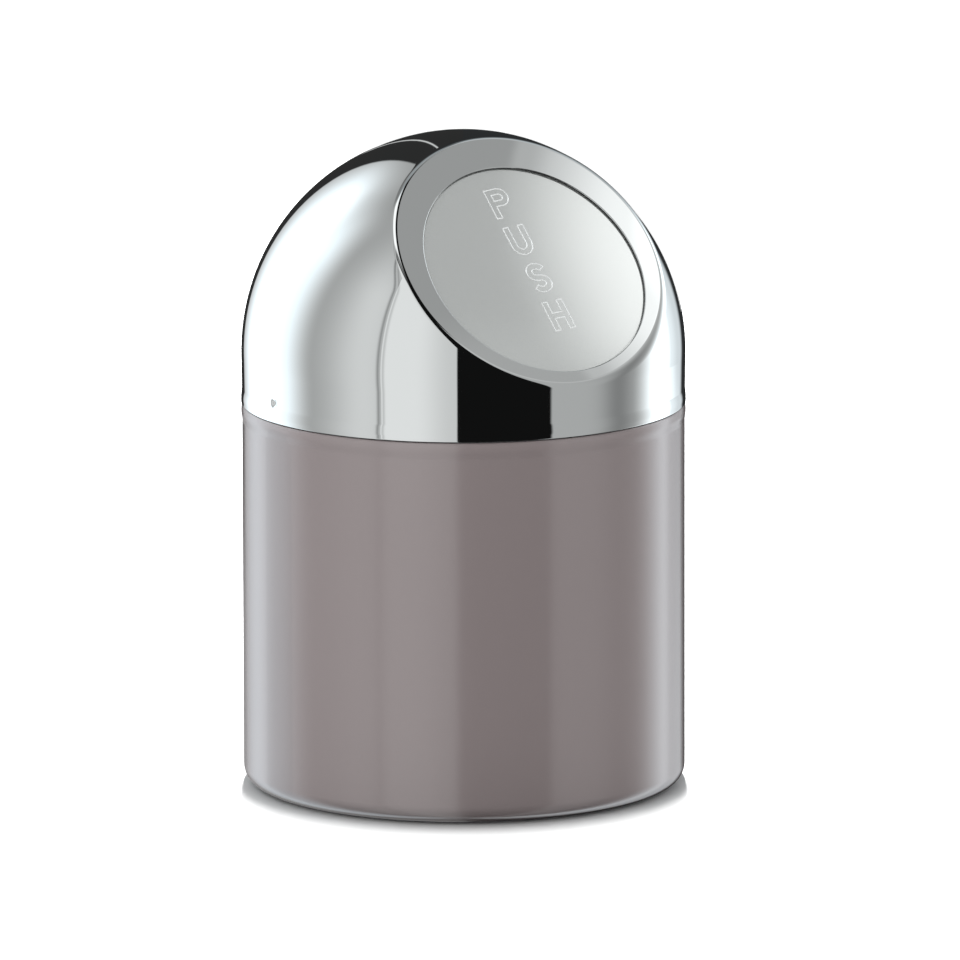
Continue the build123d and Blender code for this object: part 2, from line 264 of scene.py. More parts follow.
def studio_level(t, direction):
    """Brightness of the studio by direction, and how cool it is: black towards the camera."""
    right = t.dot(direction, to_right)
    near = t.dot(direction, to_camera)
    azimuth = t.times(t.math("ARCTAN2", right, near), 180 / pi)
    height = t.times(t.math("ARCSINE", t.dot(direction, (0, 0, 1))), 180 / pi)

    level, glow = left_side(t, azimuth, height)
    front_level = t.step(azimuth, *FRONT_DIMS, *FRONT_LEVELS)
    below_top = t.step(height, *FRONT_TOP, 1.0, 0.0)
    level = t.add(level, t.times(t.band(azimuth, *FRONT_PANEL, 0.5), front_level, below_top))
    level = t.math("SUBTRACT", level, tent_hem(t, azimuth, height))
    level = t.add(level, right_side(t, azimuth, height))
    gap = t.times(t.bump(azimuth, GAP, GAP_WIDTH), t.band(height, *GAP_HEIGHTS, 0.5))
    level = t.add(level, t.times(gap, GAP_LEVEL))
    behind = t.math("GREATER_THAN", t.math("ABSOLUTE", azimuth), FAR_AZIMUTH)
    level = t.largest(level, t.mix(behind, BLACK, FAR_BLACK))
    table = t.step(height, *TABLE_TOP, 1.0, 0.0)
    level = t.add(level, t.times(t.band(azimuth, *TABLE_RIGHT, 2), table, TABLE_RIGHT_LEVEL))
    level = t.largest(level, t.times(t.step(azimuth, *TABLE_LEFT), table, TABLE_LEFT_LEVEL))
    level = t.mix(t.step(height, *CEILING), level, ceiling(t, right, near))
    return level, t.largest(glow, t.step(azimuth, *COOL_STARTS, 0.0, COOL_SHARE))


def light_studio():
    """The panels for reflections, an even pale light for matt surfaces, white for the camera."""
    world = bpy.data.worlds.new("studio")
    world.use_nodes = True
    bpy.context.scene.world = world
    t = Tree(world.node_tree)
    direction = t.node("ShaderNodeTexCoord").outputs["Generated"]
    path = t.node("ShaderNodeLightPath")
    level, cool = studio_level(t, direction)
    matt = t.add(t.times(level, MATT_GAIN), MATT_FILL)
    seen = t.mix(path.outputs["Is Diffuse Ray"], level, matt)
    seen = t.mix(path.outputs["Is Camera Ray"], seen, 1.0)
    background = t.node("ShaderNodeBackground")
    cool = t.times(cool, t.mix(path.outputs["Is Camera Ray"], 1.0, 0.0))
    t.plug(background.inputs["Color"], t.mix_colour(cool, (1, 1, 1, 1), COOL_TINT))
    t.plug(background.inputs["Strength"], seen)
    output = t.node("ShaderNodeOutputWorld")
    t.plug(output.inputs["Surface"], background.outputs[0])


def add_mesh(name, vertices, faces):
    mesh = bpy.data.meshes.new(name)
    mesh.from_pydata(vertices, [], faces)
    mesh.update()
    made = bpy.data.objects.new(name, mesh)
    bpy.context.scene.collection.objects.link(made)
    return made


def add_card(name, centre, across, along, half_width, half_height):
    """A flat card about its centre, spanned by two unit directions."""
    corners = [(-1, -1), (1, -1), (1, 1), (-1, 1)]
    points = [centre + across * (half_width * a) + along * (half_height * b) for a, b in corners]
    card = add_mesh(name, points, [(0, 1, 2, 3)])
    card.visible_camera = False
    card.visible_shadow = False
    card.visible_diffuse = False
    return card


FLAT_ELEVATION = radians(41.4)
DOME_CENTRE_HEIGHT = 123.0
flat_normal = Vector((0, -cos(FLAT_ELEVATION), sin(FLAT_ELEVATION)))
flat_up = Vector((0, sin(FLAT_ELEVATION), cos(FLAT_ELEVATION)))
flat_centre = Vector((0, 0, DOME_CENTRE_HEIGHT * MM)) + flat_normal * 47.0 * MM

CARD_DISTANCE = 0.6
CARD_HALF = 0.25
CARD_LEVEL = 0.36
CARD_CURVE = 75  # radius, in mm on the flat, of the edges between the card's greys
CARD_STEPS = ((-1, 3, 0.13), (5, 13, 0.11), (5, 36, 0.5), (36, 42, 0.2))
CARD_LOW, CARD_LOW_LEVEL = (-22, -4), 0.07
CARD_ALONG = (-46, 75, 2.5)
CARD_UP = (-60, 60, 6)
BACK_CARD_SIDE, BACK_CARD_HEIGHT = 0.08, 0.095
BACK_CARD_HALF = (0.195, 0.115)


def add_flat_card():
    """The panel that the sloping flat mirrors: grey, and white towards its right."""
    elevation = radians(CAMERA_ELEVATION)
    back = to_camera * cos(elevation) + Vector((0, 0, sin(elevation)))
    towards = 2 * flat_normal.dot(back) * flat_normal - back
    across = (to_right - towards * to_right.dot(towards)).normalized()
    centre = flat_centre + towards * CARD_DISTANCE
    card = add_card("flat_panel", centre, across, towards.cross(across), CARD_HALF, CARD_HALF)
    spread = 1 + CARD_DISTANCE / CAMERA_DISTANCE

    def on_flat(t, position, direction):
        """How far along a direction in the flat, in millimetres, a point of the card is mirrored."""
        seen = direction - flat_normal * (towards.dot(direction) / towards.dot(flat_normal))
        offset = t.math("SUBTRACT", t.dot(position, seen), centre.dot(seen))
        return t.times(offset, 1 / MM / spread)

    material = bpy.data.materials.new("flat_panel_light")
    material.use_nodes = True
    t = Tree(material.node_tree)
    position = t.node("ShaderNodeNewGeometry").outputs["Position"]
    along = on_flat(t, position, Vector((1, 0, 0)))
    up = on_flat(t, position, flat_up)
    aside = t.add(along, -CARD_CURVE)
    away = t.math("SQRT", t.add(t.times(aside, aside), t.times(up, up)))
    reach = t.math("SUBTRACT", CARD_CURVE, away)
    steps = [t.step(reach, start, end, 0.0, level) for start, end, level in CARD_STEPS]
    low = t.step(up, *CARD_LOW, CARD_LOW_LEVEL, 0.0)
    emission = t.node("ShaderNodeEmission")
    t.plug(emission.inputs["Strength"], t.add(CARD_LEVEL, *steps, low))
    clear = t.node("ShaderNodeBsdfTransparent")
    surface = t.node("ShaderNodeMixShader")
    t.plug(surface.inputs[0], t.times(t.band(along, *CARD_ALONG), t.band(up, *CARD_UP)))
    t.plug(surface.inputs[1], clear.outputs[0])
    t.plug(surface.inputs[2], emission.outputs[0])
    output = t.node("ShaderNodeOutputMaterial")
    t.plug(output.inputs["Surface"], surface.outputs[0])
    card.data.materials.append(material)


def add_back_card():
    """The white background behind the bin, as its gloss and the floor's see it."""
    centre = -to_camera + to_right * BACK_CARD_SIDE + Vector((0, 0, BACK_CARD_HEIGHT))
    card = add_card("background_card", centre, to_right, Vector((0, 0, 1)), *BACK_CARD_HALF)
    material = bpy.data.materials.new("background_light")
    material.use_nodes = True
    t = Tree(material.node_tree)
    emission = t.node("ShaderNodeEmission")
    t.plug(emission.inputs["Strength"], 1.0)
    output = t.node("ShaderNodeOutputMaterial")
    t.plug(output.inputs["Surface"], emission.outputs[0])
    card.data.materials.append(material)


FLOOR_RADIUS, FLOOR_SIDES = 2.5, 96
FLOOR_BOUNCE = (0.12, 0.12, 0.12, 1)
FLOOR_SEEN = (0.4, 0.4, 0.4, 1)
FLOOR_GLOSS = 0.1
STRIP_SIZE = (0.12, 1.68)
STRIP_POWER = 1900.0
STRIP_HEIGHT, STRIP_BEHIND = 6.0, 0.81


def add_floor():
    """A white floor with a soft gloss; only the shadow and the reflection on it show."""
    turns = [2 * pi * i / FLOOR_SIDES for i in range(FLOOR_SIDES)]
    corners = [(FLOOR_RADIUS * cos(turn), FLOOR_RADIUS * sin(turn), 0) for turn in turns]
    floor = add_mesh("floor", corners, [tuple(range(FLOOR_SIDES))])
    floor.visible_glossy = False
    material = bpy.data.materials.new("floor_white")
    material.use_nodes = True
    t = Tree(material.node_tree)
    camera_ray = t.node("ShaderNodeLightPath").outputs["Is Camera Ray"]
    matt = t.node("ShaderNodeBsdfDiffuse")
    t.plug(matt.inputs["Color"], t.mix_colour(camera_ray, FLOOR_BOUNCE, FLOOR_SEEN))
    gloss = t.node("ShaderNodeBsdfGlossy")
    t.plug(gloss.inputs["Roughness"], FLOOR_GLOSS)
    surface = t.node("ShaderNodeMixShader")
    t.plug(surface.inputs[0], t.times(camera_ray, FLOOR_GLOSS))
    t.plug(surface.inputs[1], matt.outputs[0])
    t.plug(surface.inputs[2], gloss.outputs[0])
    output = t.node("ShaderNodeOutputMaterial")
    t.plug(output.inputs["Surface"], surface.outputs[0])
    floor.data.materials.append(material)
    return floor


def add_overhead_strip(floor):
    """A narrow strip above and behind the bin, for the floor alone: it casts the soft shadow."""
    light = bpy.data.lights.new("overhead_strip", "AREA")
    light.shape = "RECTANGLE"
    light.size, light.size_y = STRIP_SIZE
    light.energy = STRIP_POWER
    strip = bpy.data.objects.new("overhead_strip", light)
    place = Matrix((to_right, -to_camera, to_right.cross(-to_camera))).transposed().to_4x4()
    place.translation = Vector((0, 0, STRIP_HEIGHT)) - to_camera * STRIP_BEHIND
    strip.matrix_world = place
    strip.visible_glossy = False
    strip.visible_camera = False
    bpy.context.scene.collection.objects.link(strip)
    receivers = bpy.data.collections.new("strip_receivers")
    receivers.objects.link(floor)
    strip.light_linking.receiver_collection = receivers


# ---- surfaces woven from rows and columns, in millimetres ------------------------------------
NUDGE = 1e-5


def even(count):
    return np.linspace(0, 1, count + 1)


def weave(name, zones, azimuths):
    """A closed sheet of quads with exact normals. A zone is (surface, rows) and may name a material
    index. surface(azimuth, t) gives points for a row of azimuths and a column of t, and each zone
    starts where the last one ends."""
    across = azimuths.reshape(1, -1)
    columns = len(azimuths)
    points, faces, normals, finishes = [], [], [], []
    total = sum(len(rows) - 1 for _, rows, *_ in zones)
    first = 0
    here = np.arange(columns)
    after = (here + 1) % columns
    for surface, rows, *finish in zones:
        t = rows.reshape(-1, 1)
        points.append(surface(across, t)[:-1].reshape(-1, 3))
        along = surface(across, np.minimum(t + NUDGE, 1)) - surface(across, np.maximum(t - NUDGE, 0))
        normal = np.cross(along, surface(across + NUDGE, t) - surface(across - NUDGE, t))
        normal /= np.linalg.norm(normal, axis=2, keepdims=True)
        for row in range(len(rows) - 1):
            low = (first + row) * columns
            high = (first + row + 1) % total * columns
            faces.append(np.stack([low + here, high + here, high + after, low + after], axis=1))
            above, below = normal[row], normal[row + 1]
            normals.append(np.stack([above, below, below[after], above[after]], axis=1))
        first += len(rows) - 1
        finishes += (finish or [0]) * columns * (len(rows) - 1)
    made = add_mesh(name, (np.concatenate(points) * MM).tolist(), np.concatenate(faces).tolist())
    made.data.shade_smooth()
    made.data.polygons.foreach_set("material_index", finishes)
    made.data.normals_split_custom_set(np.concatenate(normals).reshape(-1, 3).tolist())
    return made


def ring(azimuth, radius, height):
    """Points at a radius and height about the can's axis."""
    radius, height, azimuth = np.broadcast_arrays(radius, height, azimuth)
    return np.stack([radius * np.cos(azimuth), radius * np.sin(azimuth), height], axis=-1)


def straight(start, end):
    """A turned surface whose profile runs straight from one (radius, height) to another."""
    return lambda azimuth, t: ring(
        azimuth, start[0] + (end[0] - start[0]) * t, start[1] + (end[1] - start[1]) * t
    )


def curved(centre, radii, start, end):
    """A turned surface whose profile is an arc about centre, its angles in degrees from outwards."""
    def surface(azimuth, t):
        angle = np.radians(start + (end - start) * t)
        return ring(azimuth, centre[0] + radii[0] * np.cos(angle), centre[1] + radii[1] * np.sin(angle))
    return surface


def about_axis(step):
    return np.radians(np.arange(0, 360, step))


# ---- can -------------------------------------------------------------------------------------
WALL = 62.0
RIM_TOP = 108.5
RIM_RADIUS = 62.28
CREST_WIDTH = 0.7
CREST_DROP = 2.2
SWELL_START = 103.5
SHEET = 0.6
CORNER = 5.0
CAN_BOTTOM = 0.35
REBATE = 55.6
REBATE_FLANGE = 52.0
FOOT_TOP = 1.6
COLLAR_RADIUS = 60.7


def swell(azimuth, t):
    """The wall just under the rim, leaning out smoothly to the rim's radius."""
    height = (RIM_TOP - CREST_DROP) * (1 - t) + SWELL_START * t
    lean = 1 - t * t * (3 - 2 * t)
    return ring(azimuth, WALL + (RIM_RADIUS - WALL) * lean, height)


def add_can():
    """The drawn can again, as a finely divided sheet for its gloss."""
    crest = (RIM_RADIUS - CREST_WIDTH, RIM_TOP - CREST_DROP)
    corner = (WALL - CORNER, CAN_BOTTOM + CORNER)
    seat = FOOT_TOP + SHEET
    inner = CORNER - SHEET
    seat_angle = np.degrees(np.arcsin((corner[1] - seat) / inner))
    seat_radius = corner[0] + inner * cos(radians(seat_angle))
    inside = WALL - SHEET
    zones = [
        (straight((COLLAR_RADIUS, RIM_TOP), (crest[0], RIM_TOP)), even(2)),
        (curved(crest, (CREST_WIDTH, CREST_DROP), 90, 0), even(16)),
        (swell, even(12)),
        (straight((WALL, SWELL_START), (WALL, corner[1])), even(12)),
        (curved(corner, (CORNER, CORNER), 0, -90), even(16)),
        (straight((corner[0], CAN_BOTTOM), (REBATE, CAN_BOTTOM)), even(1)),
        (straight((REBATE, CAN_BOTTOM), (REBATE, FOOT_TOP)), even(1)),
        (straight((REBATE, FOOT_TOP), (REBATE_FLANGE, FOOT_TOP)), even(1)),
        (straight((REBATE_FLANGE, FOOT_TOP), (REBATE_FLANGE, seat)), even(1)),
        (straight((REBATE_FLANGE, seat), (seat_radius, seat)), even(1)),
        (curved(corner, (inner, inner), -seat_angle, 0), even(8)),
        (straight((inside, corner[1]), (inside, RIM_TOP - SHEET)), even(4)),
        (straight((inside, RIM_TOP - SHEET), (COLLAR_RADIUS, RIM_TOP - SHEET)), even(1)),
        (straight((COLLAR_RADIUS, RIM_TOP - SHEET), (COLLAR_RADIUS, RIM_TOP)), even(1)),
    ]
    can = weave("painted_can", zones, about_axis(0.75))
    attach(can, "bin")
    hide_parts("can_shell")
    return can


# ---- lid -------------------------------------------------------------------------------------
DOME_RADIUS = 62.2
DOME_CENTRE = np.array([0, 0, DOME_CENTRE_HEIGHT])
SKIRT_TAPER = radians(0.8)
LIP_RADIUS = 62.3
LIP_ROUNDING = 0.5
FLARE_TOP = RIM_TOP + 4.6
FLARE_END = RIM_TOP + 1.4
HEM_INSIDE = 61.2
HEM_TOP = RIM_TOP + 1.6
FLAT_RADIUS = 40.7
FLAT_SINK = 0.1
FLAT_EDGE = 2.05
FLAT_EDGE_EXTRA = 2.5
FLAT_EDGE_BLEND = 1.8
FLAT_EDGE_TILT = radians(42)
SOFT_EDGE_ANGLE = radians(312)
SOFT_EDGE_SPREAD = radians(22)
OPENING_RADIUS = 33.55
OPENING_DROP = 2.95
OPENING_SIDE = 0.4
OPENING_ROUNDING = 0.2
NIB_HEIGHT = RIM_TOP + 5.7
NIB_RADIUS = 1.8
NIB_DEPTH = 0.86
NIB_STEP = 0.2
NIB_SPAN = 2.4
# Below this angle round the lip's rounding, and on the opening's wall and the hem, the lid takes the
# near-black painted shade. It stands in for the dark joint line over the can and the dark gap round the
# flap.
LIP_SHADE_START = -20
PAINTED_SHADE_INDEX = 1

FLAT_NORMAL = np.array(flat_normal)
FLAT_UP = np.array(flat_up)
FLAT_FRONT = sqrt(DOME_RADIUS**2 - FLAT_RADIUS**2) - FLAT_SINK
FLAT_BACK = FLAT_FRONT - SHEET


def from_flat(azimuth):
    """For each column: its direction across the flat, the angle of that direction, and how far
    round the dome, from the flat's normal, the column meets the skirt."""
    foot = ring(azimuth, cos(SKIRT_TAPER), -sin(SKIRT_TAPER))
    facing = foot @ FLAT_NORMAL
    outward = foot - facing[..., None] * FLAT_NORMAL
    outward /= np.linalg.norm(outward, axis=-1, keepdims=True)
    turn = np.arctan2(outward @ FLAT_UP, outward[..., 0])
    return outward, turn, np.arccos(facing)


def edge_reach(radius, tilt):
    """How far out and down the flat's edge has curved at a tilt. Its radius starts at the given one
    and grows with the cube of the tilt, so that it blends into the dome."""
    blend = FLAT_EDGE_BLEND / FLAT_EDGE_TILT**3
    sine, cosine = np.sin(tilt), np.cos(tilt)
    cube = tilt**3 - 6 * tilt
    square = 3 * tilt**2 - 6
    out = radius * sine + blend * (cube * sine + square * cosine + 6)
    down = radius * (1 - cosine) + blend * (square * sine - cube * cosine)
    return out, down


def flat_edge(turn):
    """The edge's first radius, softer at the lower right, the tilt at which it meets the dome, and
    how far out it starts."""
    away = (turn - SOFT_EDGE_ANGLE + pi) % (2 * pi) - pi
    radius = FLAT_EDGE + FLAT_EDGE_EXTRA * np.exp(-(away / SOFT_EDGE_SPREAD)**2 / 2)
    tilt = np.full_like(radius, FLAT_EDGE_TILT)
    for _ in range(12):
        tilt = np.arccos((FLAT_FRONT - edge_reach(radius, tilt)[1]) / DOME_RADIUS)
    return radius, tilt, DOME_RADIUS * np.sin(tilt) - edge_reach(radius, tilt)[0]


def on_slope(outward, out, height, in_opening=False):
    """A point by its distance along a direction across the flat and along the flat's normal."""
    out, height = np.broadcast_arrays(out, height)
    shift = OPENING_SIDE * np.array([1, 0, 0]) - OPENING_DROP * FLAT_UP if in_opening else 0
    return DOME_CENTRE + shift + out[..., None] * outward + height[..., None] * FLAT_NORMAL


def opening_wall(start, end):
    """The opening's cut edge, between two heights along the flat's normal."""
    def surface(azimuth, t):
        outward = from_flat(azimuth)[0]
        return on_slope(outward, OPENING_RADIUS + 0 * t, start + (end - start) * t, True)
    return surface


def opening_rounding(height, radius, start, end):
    """The opening's edge rounded over: a quarter of a circle about a height."""
    def surface(azimuth, t):
        outward = from_flat(azimuth)[0]
        angle = np.radians(start + (end - start) * t)
        out = OPENING_RADIUS + radius * (1 + np.cos(angle))
        return on_slope(outward, out, height + radius * np.sin(angle), True)
    return surface


def flat_sheet(height, outwards):
    """The flat between the opening and the start of its rounded edge."""
    def surface(azimuth, t):
        outward, turn, _ = from_flat(azimuth)
        t = t if outwards else 1 - t
        inner = on_slope(outward, np.full_like(t, OPENING_RADIUS + OPENING_ROUNDING), height, True)
        outer = on_slope(outward, flat_edge(turn)[2] + 0 * t, height)
        return inner + (outer - inner) * t[..., None]
    return surface


def flat_rounding(inset, outwards):
    """The flat's edge rounded into the dome, at a depth in the sheet."""
    def surface(azimuth, t):
        outward, turn, _ = from_flat(azimuth)
        t = t if outwards else 1 - t
        radius, tilt, start = flat_edge(turn)
        angle = tilt * t
        out, down = edge_reach(radius, angle)
        out = start + out - inset * np.sin(angle)
        return on_slope(outward, out, FLAT_FRONT - down - inset * np.cos(angle))
    return surface


def dome_sheet(inset, outwards):
    """The dome between the flat's edge and the skirt, at a depth in the sheet."""
    def surface(azimuth, t):
        outward, turn, skirt = from_flat(azimuth)
        t = t if outwards else 1 - t
        start = flat_edge(turn)[1]
        angle = start + (skirt - start) * t
        radius = DOME_RADIUS - inset
        return on_slope(outward, radius * np.sin(angle), radius * np.cos(angle))
    return surface


SKIRT_TOP = DOME_CENTRE[2] - DOME_RADIUS * sin(SKIRT_TAPER)


def skirt_radius(azimuth, height):
    """The skirt's outside: a slight cone that flares to the lip, with a nib at each side."""
    top = DOME_RADIUS * cos(SKIRT_TAPER)
    cone = top - (SKIRT_TOP - height) * tan(SKIRT_TAPER)
    waist = top - (SKIRT_TOP - FLARE_TOP) * tan(SKIRT_TAPER)
    length = FLARE_TOP - FLARE_END
    t = np.clip((FLARE_TOP - height) / length, 0, 1)
    lean = t * t * (3 - 2 * t)
    flare = waist + (LIP_RADIUS - waist) * lean - length * tan(SKIRT_TAPER) * t * (1 - t)**2
    radius = np.where(height > FLARE_TOP, cone, flare)
    for side in (0, pi):
        away = (azimuth - side + pi) % (2 * pi) - pi
        distance = np.sqrt((height - NIB_HEIGHT)**2 + (DOME_RADIUS * away)**2)
        dent = np.cos(np.clip(distance / NIB_RADIUS, 0, 1) * pi / 2)**2
        radius = radius - NIB_DEPTH * dent
    return radius


def skirt_sheet(start, end, inset):
    """The skirt between two heights, at a depth in the sheet."""
    def surface(azimuth, t):
        height = start + (end - start) * t
        return ring(azimuth, skirt_radius(azimuth, height) - inset, height)
    return surface


def skirt_rows(start, end):
    """Rows as fractions of the way from start to end, close together over the nibs and the flare."""
    low, high = min(start, end), max(start, end)
    fine = np.arange(low, NIB_HEIGHT + NIB_RADIUS + NIB_STEP, NIB_STEP)
    coarse = np.linspace(NIB_HEIGHT + NIB_RADIUS + 3 * NIB_STEP, high, 6)
    return np.sort((np.concatenate([fine, coarse]) - start) / (end - start))


def lid_columns():
    """Azimuths every half degree, and four times as close over the nibs."""
    whole = about_axis(0.5)
    near = np.radians(np.arange(-NIB_SPAN, NIB_SPAN + 0.05, 0.125))
    return np.unique(np.round(np.concatenate([whole, near % (2 * pi), near + pi]), 6))


def add_lid():
    """The pressed lid again, as a finely divided sheet for its mirror finish."""
    inner_top = DOME_CENTRE[2] - (DOME_RADIUS - SHEET) * sin(SKIRT_TAPER)
    front, back = OPENING_ROUNDING, OPENING_ROUNDING / 5
    lip = (LIP_RADIUS - LIP_ROUNDING, RIM_TOP + LIP_ROUNDING)
    # Zones with the second material index get near-black painted shade. The opening's wall and its back
    # rounding stand in for the gap round the flap, and the lip's lower rounding and the hem's underside
    # stand in for the joint line over the can.
    zones = [
        (opening_wall(FLAT_BACK + back, FLAT_FRONT - front), even(1), PAINTED_SHADE_INDEX),
        (opening_rounding(FLAT_FRONT - front, front, 180, 90), even(6)),
        (flat_sheet(FLAT_FRONT, True), even(4)),
        (flat_rounding(0, True), even(24)),
        (dome_sheet(0, True), even(32)),
        (skirt_sheet(SKIRT_TOP, FLARE_END, 0), skirt_rows(SKIRT_TOP, FLARE_END)),
        (straight((LIP_RADIUS, FLARE_END), (LIP_RADIUS, lip[1])), even(2)),
        (curved(lip, (LIP_ROUNDING, LIP_ROUNDING), 0, LIP_SHADE_START), even(3)),
        (curved(lip, (LIP_ROUNDING, LIP_ROUNDING), LIP_SHADE_START, -90), even(6), PAINTED_SHADE_INDEX),
        (straight((lip[0], RIM_TOP), (HEM_INSIDE, RIM_TOP)), even(1), PAINTED_SHADE_INDEX),
        (straight((HEM_INSIDE, RIM_TOP), (HEM_INSIDE, HEM_TOP)), even(1)),
        (straight((HEM_INSIDE, HEM_TOP), (LIP_RADIUS - SHEET, HEM_TOP)), even(1)),
        (skirt_sheet(HEM_TOP, inner_top, SHEET), skirt_rows(HEM_TOP, inner_top)),
        (dome_sheet(SHEET, False), even(20)),
        (flat_rounding(SHEET, False), even(8)),
        (flat_sheet(FLAT_BACK, False), even(2)),
        (opening_rounding(FLAT_BACK + back, back, 270, 180), even(3), PAINTED_SHADE_INDEX),
    ]
    lid = weave("chromed_lid", zones, lid_columns())
    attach(lid, "lid")
    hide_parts("lid_dome")
    return lid


# ---- flap ------------------------------------------------------------------------------------
PLATE_FACE = 45.986
FLAP_FACE = PLATE_FACE + 0.15
PANEL_BACK = PLATE_FACE - 0.02
PANEL_RADIUS = 33.25
PANEL_ROUNDING = 0.05
PANEL_HUB = 0.5


def add_panel():
    """The flap's middle, pressed up from its plate into the opening."""
    def between(start, end):
        """A turned surface from one (distance from the flap's centre, height) to another."""
        def surface(azimuth, t):
            outward = np.cos(azimuth)[..., None] * [1, 0, 0] + np.sin(azimuth)[..., None] * FLAT_UP
            out = start[0] + (end[0] - start[0]) * t
            return on_slope(outward, out, start[1] + (end[1] - start[1]) * t, True)
        return surface

    def rounding(azimuth, t):
        outward = np.cos(azimuth)[..., None] * [1, 0, 0] + np.sin(azimuth)[..., None] * FLAT_UP
        out = edge + PANEL_ROUNDING * np.sin(pi / 2 * t)
        return on_slope(outward, out, FLAP_FACE - PANEL_ROUNDING * (1 - np.cos(pi / 2 * t)), True)

    edge = PANEL_RADIUS - PANEL_ROUNDING
    shoulder = (PANEL_RADIUS, FLAP_FACE - PANEL_ROUNDING)
    zones = [
        (between((PANEL_HUB, FLAP_FACE), (edge, FLAP_FACE)), even(6)),
        (rounding, even(5)),
        (between(shoulder, (PANEL_RADIUS, PANEL_BACK)), even(1)),
        (between((PANEL_RADIUS, PANEL_BACK), (PANEL_HUB, PANEL_BACK)), even(1)),
        (between((PANEL_HUB, PANEL_BACK), (PANEL_HUB, FLAP_FACE)), even(1)),
    ]
    panel = weave("flap_panel", zones, about_axis(1.0))
    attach(panel, "flap")
    return panel


# ---- lettering on the flap: plain block outlines of the word that says how to use it ---------
LETTER_HEIGHT = 9.3
LETTER_WIDTH = 6.7
STROKE = 1.75
LETTER_PITCH = 12.55
TEXT_TURN = radians(5.5)
TEXT_CENTRE = (0.58, 0.87)
BEAD_WIDTH = 0.42
BEAD_RISE = 0.06
BEAD_SINK = 0.004
BOWL = 2.75


def arc_points(centre, radii, start, end, count=24):
    angles = np.radians(np.linspace(start, end, count + 1))
    return [(centre[0] + radii[0] * cos(a), centre[1] + radii[1] * sin(a)) for a in angles]


def letter_p():
    side, top = LETTER_WIDTH / 2, LETTER_HEIGHT / 2
    centre = (side - BOWL, top - BOWL)
    hole = BOWL - STROKE
    stem = STROKE - side
    outside = [(-side, -top), (stem, -top), (stem, centre[1] - BOWL)]
    outside += arc_points(centre, (BOWL, BOWL), -90, 90) + [(-side, top)]
    inside = [(stem, centre[1] - hole)] + arc_points(centre, (hole, hole), -90, 90)
    return [outside, inside + [(stem, centre[1] + hole)]]


def letter_u():
    side, top = LETTER_WIDTH / 2, LETTER_HEIGHT / 2
    hole = side - STROKE
    centre = (0, side - top)
    outside = [(-side, top)] + arc_points(centre, (side, side), 180, 360) + [(side, top), (hole, top)]
    return [outside + arc_points(centre, (hole, hole), 0, -180) + [(-hole, top)]]


def letter_s():
    """One stroke that bends twice: offset both ways from its middle line."""
    half = STROKE / 2
    reach, rise = LETTER_WIDTH / 2 - 0.2 - half, LETTER_HEIGHT / 4 - half / 2
    middle = arc_points((0, rise), (reach, rise), 25, 270)
    middle += arc_points((0, -rise), (reach, rise), 90, -155)[1:]
    line = np.array(middle)
    run = np.gradient(line, axis=0)
    run /= np.linalg.norm(run, axis=1, keepdims=True)
    side = np.stack([-run[:, 1], run[:, 0]], axis=1) * half
    return [(line - side).tolist() + (line + side)[::-1].tolist()]


def letter_h():
    side, top = LETTER_WIDTH / 2, LETTER_HEIGHT / 2
    inner, bar = side - STROKE, STROKE / 2
    quarter = [(inner, bar), (inner, top), (side, top)]
    right = quarter + [(x, -y) for x, y in reversed(quarter)]
    return [right + [(-x, -y) for x, y in right]]


def bead_points(path):
    """Rows of points across a low rounded bead that follows a closed path with mitred corners."""
    line = np.array(path)
    ahead = np.roll(line, -1, axis=0) - line
    ahead /= np.linalg.norm(ahead, axis=1, keepdims=True)
    behind = np.roll(ahead, 1, axis=0)
    mitre = np.stack([-(ahead + behind)[:, 1], (ahead + behind)[:, 0]], axis=1)
    mitre *= 2 / np.maximum(np.sum(mitre**2, axis=1, keepdims=True), 0.5)
    across = np.linspace(-0.5, 0.5, 9)
    rise = BEAD_RISE * np.cos(across * pi)**2 - BEAD_SINK
    flat = line[:, None, :] + mitre[:, None, :] * (across * BEAD_WIDTH)[None, :, None]
    return flat, np.broadcast_to(rise, flat.shape[:2])


def add_lettering():
    """The word PUSH down the flap, each letter's outline raised as a bead."""
    letters = [letter_p(), letter_u(), letter_s(), letter_h()]
    down = np.array([sin(TEXT_TURN), -cos(TEXT_TURN)])
    turn = np.array([[cos(TEXT_TURN), sin(TEXT_TURN)], [-sin(TEXT_TURN), cos(TEXT_TURN)]])
    points, faces = [], []
    for place, letter in enumerate(letters):
        centre = np.array(TEXT_CENTRE) + down * LETTER_PITCH * (place - (len(letters) - 1) / 2)
        for path in letter:
            flat, rise = bead_points(path)
            rows, width = rise.shape
            spot = (flat @ turn + centre).reshape(-1, 2)
            height = FLAP_FACE + rise.reshape(-1, 1)
            start = len(points)
            place_up = spot[:, 1:] * FLAT_UP + height * FLAT_NORMAL
            points += (DOME_CENTRE + spot[:, :1] * [1, 0, 0] + place_up).tolist()
            for row in range(rows):
                here, after = start + row * width, start + (row + 1) % rows * width
                faces += [(here + k, after + k, after + k + 1, here + k + 1) for k in range(width - 1)]
    lettering = add_mesh("flap_lettering", (np.array(points) * MM).tolist(), faces)
    lettering.data.shade_smooth()
    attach(lettering, "flap")
    return lettering


